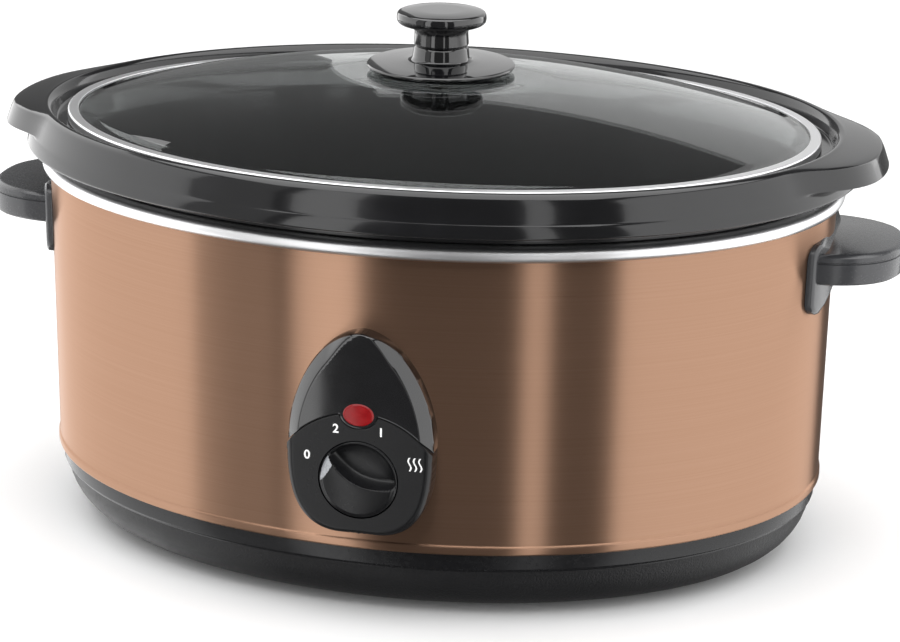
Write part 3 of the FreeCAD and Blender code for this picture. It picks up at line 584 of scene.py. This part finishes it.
def eggPoint(angle):
    # The panel's outline: a tall rounded head over a squarer foot with a slightly raised middle.
    up = math.sin(angle) >= 0
    power = panelShape["round"] if up else panelShape["lowRound"]
    rise = coverHigh.z - panelShape["middle"] if up else panelShape["middle"] - panelLow.z
    x = panelShape["half"] * math.copysign(abs(math.cos(angle)) ** (2 / power), math.cos(angle))
    z = panelShape["middle"] + rise * math.copysign(abs(math.sin(angle)) ** (2 / power), math.sin(angle))
    return Vector((x, z))


eggOutline = [eggPoint(2 * math.pi * (step + 0.5) / 720) for step in range(720)]


def outlineGap(x, z):
    # Distance to the outline of the panel.
    return min(math.hypot(point.x - x, point.y - z) for point in eggOutline)


def inEgg(x, z):
    up = z >= panelShape["middle"]
    power = panelShape["round"] if up else panelShape["lowRound"]
    rise = coverHigh.z - panelShape["middle"] if up else panelShape["middle"] - panelLow.z
    share = (abs(x) / panelShape["half"]) ** power + (abs(z - panelShape["middle"]) / rise) ** power
    return share < 1


def partingHeight(x, grow=0.0):
    # The arc between the two halves, dipping under the lens.
    radius = panelShape["arc"] + grow
    arc = panelShape["arcHeight"] + math.sqrt(max(radius * radius - x * x, 0))
    wide, tall = lensHalf.x + 0.7 - grow, lensHalf.z + 0.7 - grow
    if abs(x) >= wide:
        return arc
    return min(arc, lensMiddle.z - tall * math.sqrt(1 - (x / wide) ** 2))


def partingGap(x, z):
    near = 9.0
    for step in range(-12, 13):
        over = x + step * 0.4
        near = min(near, math.hypot(over - x, partingHeight(over) - z))
    return near


def taperAt(z):
    return shellTaper * (shellHigh.z - z) / (shellHigh.z - shellLow.z)


def wallAt(x, z):
    # Depth of the shell's outer face at a place on its front.
    taper = taperAt(z)
    return -(halfWidth - taper) * math.sqrt(max(1 - (x / (halfLength - taper)) ** 2, 0))


def panelDepth(x, z, bevel):
    near = outlineGap(x, z)
    size = 1.0
    if bevel["fades"] and z > panelShape["middle"]:
        size = 0.15 + 0.85 * smoothStep(2.0, 15.0, abs(x))
    slope = max(1 - near / (bevel["inset"] * size), 0)
    soft = bevel["depth"] * size * (slope ** bevel["power"])
    edge = 0.28 * max(1 - partingGap(x, z) / 0.5, 0) ** 2
    return panelFront + soft + edge + 0.9 * max(1 - near / 0.5, 0) ** 2


def skinPanel(name, rows, wrap, bevel, material, replaced):
    # rows run from the inner edge to the outer edge of one half; each holds (x, z) places.
    bm = bmesh.new()
    skin = [[bm.verts.new((x, panelDepth(x, z, bevel), z)) for x, z in row] for row in rows]
    back = [[bm.verts.new((v.co.x, wallAt(v.co.x, v.co.z) + 0.3, v.co.z)) for v in row]
            for row in (skin[0], skin[-1])]
    layers = [back[0], *skin, back[1]]
    for vert in [vert for layer in layers for vert in layer]:
        lift = max(1 - (vert.co.z - panelLow.z) / 7, 0)
        vert.co.z += panelShape["wave"] * lift * math.exp(-((vert.co.x / 9) ** 2))
    count = len(rows[0])
    for first, second in zip(layers, layers[1:]):
        for step in range(count if wrap else count - 1):
            after = (step + 1) % count
            corners = []
            for vert in (first[step], first[after], second[after], second[step]):
                if all((vert.co - other.co).length > 0.0005 for other in corners):
                    corners.append(vert)
            if len(corners) > 2:
                bm.faces.new(corners)
    newPiece(name, bm, material, "housing", replaced, 32)


def spaced(length, count):
    # Shares of a length, crowded at both ends.
    near = [0, 0.12, 0.3, 0.55, 0.9]
    if length < 4 * near[-1]:
        return [step / (count + 9) for step in range(count + 10)]
    inner = [near[-1] + (length - 2 * near[-1]) * step / (count + 1) for step in range(1, count + 1)]
    return [place / length for place in near + inner + [length - gap for gap in reversed(near)]]


def makeLowerPanel():
    bevel = {"inset": 3.0, "depth": 2.0, "power": 2.2, "fades": False}
    well = 17.4       # radius of the round opening for the dial
    wellDepth = 5.5
    columns = []
    for step in range(300):
        angle = 2 * math.pi * step / 300
        way = Vector((math.cos(angle), math.sin(angle)))
        low, high = well, 60.0
        for _ in range(22):
            middle = (low + high) / 2
            x, z = way.x * middle, dialMiddle.z + way.y * middle
            inside = inEgg(x, z) and z < partingHeight(x, -panelShape["gap"])
            low, high = (middle, high) if inside else (low, middle)
        reaches = [well + (low - well) * share for share in spaced(low - well, 24)]
        columns.append([(way.x * reach, dialMiddle.z + way.y * reach) for reach in reaches])
    rows = [list(row) for row in zip(*columns)]
    skinPanel("panelLower", rows, True, bevel, satinBlack, ["control_panel"])
    bm = turned([(0, 0), (well, 0, 0.2), (well, 1.2), (0, 1.2)], False, 64)
    bmesh.ops.rotate(bm, matrix=Matrix.Rotation(-math.pi / 2, 3, "X"), verts=bm.verts)
    bmesh.ops.translate(bm, vec=(0, panelFront + wellDepth, dialMiddle.z), verts=bm.verts)
    newPiece("dialWell", bm, satinBlack, "housing", ())


def makeCover():
    bevel = {"inset": 5.2, "depth": 4.4, "power": 1.15, "fades": True}
    ends = [angle for angle in (math.pi * step / 2000 for step in range(-600, 2600))
            if eggPoint(angle).y > partingHeight(eggPoint(angle).x, panelShape["gap"])]
    first, last = ends[0], ends[-1]
    columns = []
    for step in range(181):
        share = step / 180
        top = eggPoint(first + (last - first) * share)
        x = eggPoint(first).x + (eggPoint(last).x - eggPoint(first).x) * share
        foot = Vector((x, partingHeight(x, panelShape["gap"])))
        if step in (0, 180):
            foot = top
        shares = spaced(max((top - foot).length, 4), 40)
        columns.append([tuple(foot + (top - foot) * part) for part in shares])
    rows = [list(row) for row in zip(*columns)]
    skinPanel("panelGloss", rows, False, bevel, glossBlack, ["panel_cover"])


def makeShaft():
    # The spindle stops inside the thick part of the dial.
    cover = 4.6
    radius = (shaftHigh.x - shaftLow.x) / 2
    length = shaftHigh.y - panelFront - cover
    bm = turned([(0, 0), (radius, 0, 0.3), (radius, length, 0.3), (0, length)], False, 48)
    bmesh.ops.rotate(bm, matrix=Matrix.Rotation(-math.pi / 2, 3, "X"), verts=bm.verts)
    bmesh.ops.translate(bm, vec=(0, panelFront + cover, dialMiddle.z), verts=bm.verts)
    newPiece("dialSpindle", bm, brassMetal, "dial", ["switch_shaft"])


def makeLens():
    corners = [(0, 0), (0.80, 0.02, 0.05), (1.0, 0.34, 0.08), (1.0, 1.0), (0, 1.0)]
    bm = turned([(c[0], c[1], *c[2:]) for c in corners], False, 64)
    bmesh.ops.scale(bm, vec=(lensHalf.x, lensHalf.z, lensHalf.y * 2), verts=bm.verts)
    bmesh.ops.rotate(bm, matrix=Matrix.Rotation(-math.pi / 2, 3, "X"), verts=bm.verts)
    bmesh.ops.translate(bm, vec=(lensMiddle.x, lensLow.y, lensMiddle.z), verts=bm.verts)
    newPiece("statusLens", bm, lensRed, "housing", ["indicator_lens"])


# The dial's face, in shares of its radius, with the pointer upwards.
dialShape = {"radius": 17.0, "edge": 0.35, "back": 5.2, "rest": 67.5, "crown": 2.7, "scoop": 3.9,
             "ridge": -0.09, "bend": 0.36, "wall": 0.2, "tip": 0.93, "slope": 13, "cut": 0.3}


def ridgeAt(z):
    return dialShape["ridge"] + dialShape["bend"] * z * z


def chordAt(z):
    return math.sqrt(max(1 - z * z, 0.0001))


def crestAt(z):
    return dialShape["crown"] * (1 - 0.3 * z * z)


def fullHalf(x, z):
    # Height of the left half, which slopes away from the ridge.
    share = min((ridgeAt(z) - x) / max(chordAt(z) + ridgeAt(z), 0.1), 1)
    return crestAt(z) * (1 - 0.75 * share ** 1.4)


def facetHeight(z):
    # The flat that cuts the ridge off at its end and serves as the pointer.
    return (dialShape["tip"] - z) * dialShape["slope"] - dialShape["cut"]


def dialFace(x, z):
    # How far the face stands out. A curved ridge divides a deep scoop on the right from the full left half.
    ridge = ridgeAt(z)
    rim = smoothStep(1.0, 0.9, math.hypot(x, z))
    if x > ridge:
        share = min((x - ridge) / max(chordAt(z) - ridge, 0.1), 1)
        floor = -dialShape["scoop"] * (1 - share ** 2.2) * rim
        return floor + (crestAt(z) * rim - floor) * max(1 - (x - ridge) / dialShape["wall"], 0) ** 1.6
    return min(fullHalf(x, z) * rim, facetHeight(z))


# Picks the faces of the pointer facet, which are given the painted highlight grey.
def isFacet(face):
    middle = face.calc_center_median() / dialShape["radius"]
    x, z = middle.x, middle.z
    if x >= ridgeAt(z) or z <= 0.6 or math.hypot(x, z) >= 0.96:
        return False
    return facetHeight(z) < fullHalf(x, z)


def makeDial():
    rows, around = 56, 192
    wide = dialShape["radius"]
    bm = bmesh.new()
    turns = [(math.cos(2 * math.pi * step / around), math.sin(2 * math.pi * step / around))
             for step in range(around)]
    middle = bm.verts.new((0, panelFront - dialFace(0, 0), 0))
    rings = []
    for row in range(1, rows + 1):
        ring = []
        for cosine, sine in turns:
            x, z = row / rows * cosine, row / rows * sine
            ring.append(bm.verts.new((x * (wide - dialShape["edge"]), panelFront - dialFace(x, z),
                                      z * (wide - dialShape["edge"]))))
        rings.append(ring)
    for depth in (dialShape["edge"], dialShape["back"]):
        rings.append([bm.verts.new((wide * cosine, panelFront + depth, wide * sine))
                      for cosine, sine in turns])
    for step in range(around):
        bm.faces.new((middle, rings[0][step], rings[0][(step + 1) % around]))
    joinRings(bm, rings)
    bm.faces.new(rings[-1])
    # Faces of the pointer facet take the painted highlight grey; the rest stay satin black.
    for face in bm.faces:
        face.material_index = int(isFacet(face))
    turn = Matrix.Rotation(math.radians(-dialShape["rest"]), 3, "Y")
    bmesh.ops.rotate(bm, matrix=turn, verts=bm.verts)
    bmesh.ops.translate(bm, vec=(dialMiddle.x, 0, dialMiddle.z), verts=bm.verts)
    piece = newPiece("dialKnob", bm, satinBlack, "dial", ["selector_knob"], 50)
    piece.data.materials.append(facetPaintedHighlight)


# handles: a plate that follows the shell and a rounded ledge


def addGrip(bm, tip):
    # The ledge: a D-shaped outline with a rounded foot, a fine seam and a rounded top.
    grip = {"foot": 135.5, "height": 14.0, "half": 36.0, "power": 2.5, "edge": 2.8, "seam": 0.5,
            "root": 12.0}
    top = grip["height"]
    reach = tip - halfLength + grip["root"]
    profile = [(0, 3.2), (0.3, 1.4), (1.1, 0.4), (grip["edge"], 0.0), (top - 4.2, 0.0),
               (top - 3.9, grip["seam"]), (top - 3.5, grip["seam"]), (top - 3.2, 0.1),
               (top - 1.4, 0.5), (top - 0.4, 1.6), (top, 3.4)]
    levels = []
    for rise, inset in profile:
        level = []
        for step in range(49):
            angle = math.pi * (step / 48 - 0.5)
            across = math.copysign(abs(math.sin(angle)) ** (2 / grip["power"]), math.sin(angle))
            out = abs(math.cos(angle)) ** (2 / grip["power"])
            x = tip - reach + (reach - inset) * out
            level.append(bm.verts.new((x, (grip["half"] - inset) * across, grip["foot"] + rise)))
        levels.append(level)
    joinRings(bm, levels, False)
    bm.faces.new(levels[0])
    bm.faces.new(levels[-1])
    bm.faces.new([level[0] for level in levels] + [level[-1] for level in levels[::-1]])


def addPlate(bm, low, high):
    # The plate: a rounded rectangle that lies on the shell, with a soft outer edge.
    plate = {"thick": 3.5, "corner": 7.0, "edge": 1.1, "gap": 0.1}
    width, height = high.y - low.y, high.z - low.z
    middle = (low.z + high.z) / 2
    outline = []
    for sideY, sideZ, start in ((1, 1, 0), (-1, 1, 90), (-1, -1, 180), (1, -1, 270)):
        for step in range(7):
            angle = math.radians(start + 15 * step)
            outline.append((sideY * (width / 2 - plate["corner"]) + plate["corner"] * math.cos(angle),
                            sideZ * (height / 2 - plate["corner"]) + plate["corner"] * math.sin(angle)))
    layers = [(1.0, plate["gap"]), (1.0, plate["thick"] - plate["edge"]), (0.985, plate["thick"] - 0.3)]
    layers += [(shrink, plate["thick"]) for shrink in (0.955, 0.8, 0.6, 0.4, 0.2)]
    rings = []
    for shrink, out in layers:
        upright = 1 if shrink < 0.95 else width / height
        ring = []
        for across, up in outline:
            y = across * shrink
            z = middle + up * (1 - (1 - shrink) * upright)
            taper = taperAt(z)
            x = (halfLength - taper) * math.sqrt(1 - (y / (halfWidth - taper)) ** 2) + out
            ring.append(bm.verts.new((x, y, z)))
        rings.append(ring)
    joinRings(bm, rings)
    bm.faces.new(rings[-1])
    bm.faces.new(rings[0])


def makeHandle(side, node, name):
    low, high = boxOf(node)
    bm = bmesh.new()
    addGrip(bm, max(abs(low.x), abs(high.x)))
    addPlate(bm, low, high)
    if side < 0:
        bmesh.ops.rotate(bm, matrix=Matrix.Rotation(math.pi, 3, "Z"), verts=bm.verts)
    newPiece(name, bm, handleBlack, "housing", [node], 35)


# printed marks round the dial: 0, 2, 1 and three waves for keeping warm


def addFigure(label, angle):
    figure = {"size": 5.4, "radius": 24.0, "thick": 0.06, "offset": 0.12, "proud": 0.02}
    letters = bpy.data.curves.new(f"mark{label}", "FONT")
    letters.body = label
    letters.size = figure["size"]
    letters.align_x = "CENTER"
    letters.align_y = "CENTER"
    letters.extrude = figure["thick"]
    letters.offset = figure["offset"]
    piece = bpy.data.objects.new(f"mark{label}", letters)
    bpy.context.scene.collection.objects.link(piece)
    bpy.context.view_layer.update()
    mesh = bpy.data.meshes.new_from_object(piece.evaluated_get(bpy.context.evaluated_depsgraph_get()))
    bpy.data.objects.remove(piece)
    bm = bmesh.new()
    bm.from_mesh(mesh)
    bmesh.ops.rotate(bm, matrix=Matrix.Rotation(math.pi / 2, 3, "X"), verts=bm.verts)
    turn = math.radians(angle)
    place = (dialMiddle.x + figure["radius"] * math.sin(turn), panelFront - figure["proud"],
             dialMiddle.z + figure["radius"] * math.cos(turn))
    bmesh.ops.translate(bm, vec=place, verts=bm.verts)
    newPiece(f"dialMark{label}", bm, printWhite, "housing", ())


def addWaves():
    wave = {"left": 22.2, "pitch": 2.3, "swing": 0.62, "half": 0.34, "foot": 6.2, "height": 6.0,
            "steps": 12, "thick": 0.08, "proud": 0.05}
    bm = bmesh.new()
    for column in range(3):
        line = []
        for step in range(wave["steps"] + 1):
            share = step / wave["steps"]
            x = wave["left"] + column * wave["pitch"] + wave["swing"] * math.sin(share * 2 * math.pi)
            z = dialMiddle.z + wave["foot"] + wave["height"] * share
            line.append([bm.verts.new((x + side * wave["half"], panelFront - wave["proud"], z))
                         for side in (-1, 1)])
        joinRings(bm, line, False)
    bmesh.ops.solidify(bm, geom=bm.faces[:], thickness=wave["thick"])
    newPiece("dialMarkWarm", bm, printWhite, "housing", ())


def makeMarks():
    for label, angle in (("0", -67.5), ("2", -24.0), ("1", 24.0)):
        addFigure(label, angle)
    addWaves()


makeShell()
makeLiner()
makeBase()
makeCrock()
makeLid()
makeKnob()
print("body, crock and lid made")
makeLowerPanel()
makeCover()
makeShaft()
makeLens()
makeDial()
makeMarks()
print("panel made")
makeHandle(1, "right_handle", "rightGrip")
makeHandle(-1, "left_handle", "leftGrip")
print("handles made")

# CAD nodes that keep their own shape

keptFinish = {
    zincSteel: ["band_springs", "heat_shield", "tie_bolt", "tie_nut", "tie_spacers", "thermal_fuse",
                "panel_screws", "handle_screws", "knob_washer", "knob_screw"],
    rubberBlack: ["rubber_feet", "knob_gasket"],
    micaBrown: ["heating_band"],
    brassMetal: ["switch_nut"],
    switchCream: ["rotary_switch", "terminal_block"],
    sleeveTan: ["live_wire", "neutral_wire", "earth_wire"],
    satinBlack: ["cord_gland"],
    clearGlass: ["neon_lamp"],
}
for material, names in keptFinish.items():
    for node in names:
        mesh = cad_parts[node].data
        mesh.materials.clear()
        mesh.materials.append(material)
print("carried-over pieces dressed")

# floor, lights and camera


def makeSoftbox(name, place, facing, width, height, brightness):
    light = bpy.data.lights.new(name, "AREA")
    light.shape = "RECTANGLE"
    light.size = width
    light.size_y = height
    light.energy = brightness * math.pi * width * height
    lamp = bpy.data.objects.new(name, light)
    lamp.visible_camera = False
    bpy.context.scene.collection.objects.link(lamp)
    lamp.location = place
    lamp.rotation_euler = facing


def makeStage():
    bm = bmesh.new()
    bmesh.ops.create_grid(bm, x_segments=1, y_segments=1, size=30)
    mesh = bpy.data.meshes.new("floor")
    bm.to_mesh(mesh)
    bm.free()
    floor = bpy.data.objects.new("floor", mesh)
    bpy.context.scene.collection.objects.link(floor)
    mesh.materials.append(newMaterial("paleFloor", (0.93, 0.93, 0.93), 0.6)[0])
    floor.visible_glossy = False          # the body mirrors the softboxes, which reach below the floor
    world = bpy.data.worlds.new("studio")
    world.use_nodes = True
    world.node_tree.nodes["Background"].inputs["Color"].default_value = (1, 1, 1, 1)
    world.node_tree.nodes["Background"].inputs["Strength"].default_value = 0.17
    bpy.context.scene.world = world
    bpy.context.scene.view_settings.view_transform = "Standard"
    boxes = [
        # name, azimuth from the front, distance, width, lowest and highest point, brightness
        ("leftWide", -99, 1.6, 3.15, -2.0, 1.8, 1.65),
        ("leftDim", -43, 1.8, 0.6, -2.0, 1.8, 0.45),
        ("rightWide", 96, 1.6, 3.9, -2.0, 1.8, 1.65),
        ("frontStrip", -22, 1.8, 0.46, -2.0, 1.8, 1.85),
        ("slimStrip", 25, 1.8, 0.2, -2.0, 1.8, 1.5),
        ("backWide", 167, 2.0, 2.4, 0.2, 1.5, 0.55),
    ]
    for name, azimuth, distance, width, low, high, brightness in boxes:
        turn = math.radians(azimuth)
        place = Vector((math.sin(turn) * distance, -math.cos(turn) * distance, (low + high) / 2))
        facing = Vector((place.x, place.y, 0)).to_track_quat("Z", "Y").to_euler()
        makeSoftbox(name, place, facing, width, high - low, brightness)
    makeSoftbox("overhead", Vector((0, -0.35, 1.9)), (0, 0, 0), 2.8, 2.6, 2.6)


def makeCamera():
    view = {"place": (0.28846, -1.24671, 0.50677), "azimuth": 12.757, "pitch": 17.917, "roll": 0.991,
            "lens": 116.44, "sensor": 36}
    camera = bpy.data.cameras.new("camera")
    camera.lens = view["lens"]
    camera.sensor_width = view["sensor"]
    camera.dof.use_dof = False
    viewer = bpy.data.objects.new("camera", camera)
    bpy.context.scene.collection.objects.link(viewer)
    turn = (Matrix.Rotation(math.radians(view["azimuth"]), 4, "Z")
            @ Matrix.Rotation(math.radians(90 - view["pitch"]), 4, "X")
            @ Matrix.Rotation(math.radians(view["roll"]), 4, "Z"))
    viewer.matrix_world = Matrix.Translation(view["place"]) @ turn
    bpy.context.scene.camera = viewer


makeStage()
makeCamera()
print("stage ready")
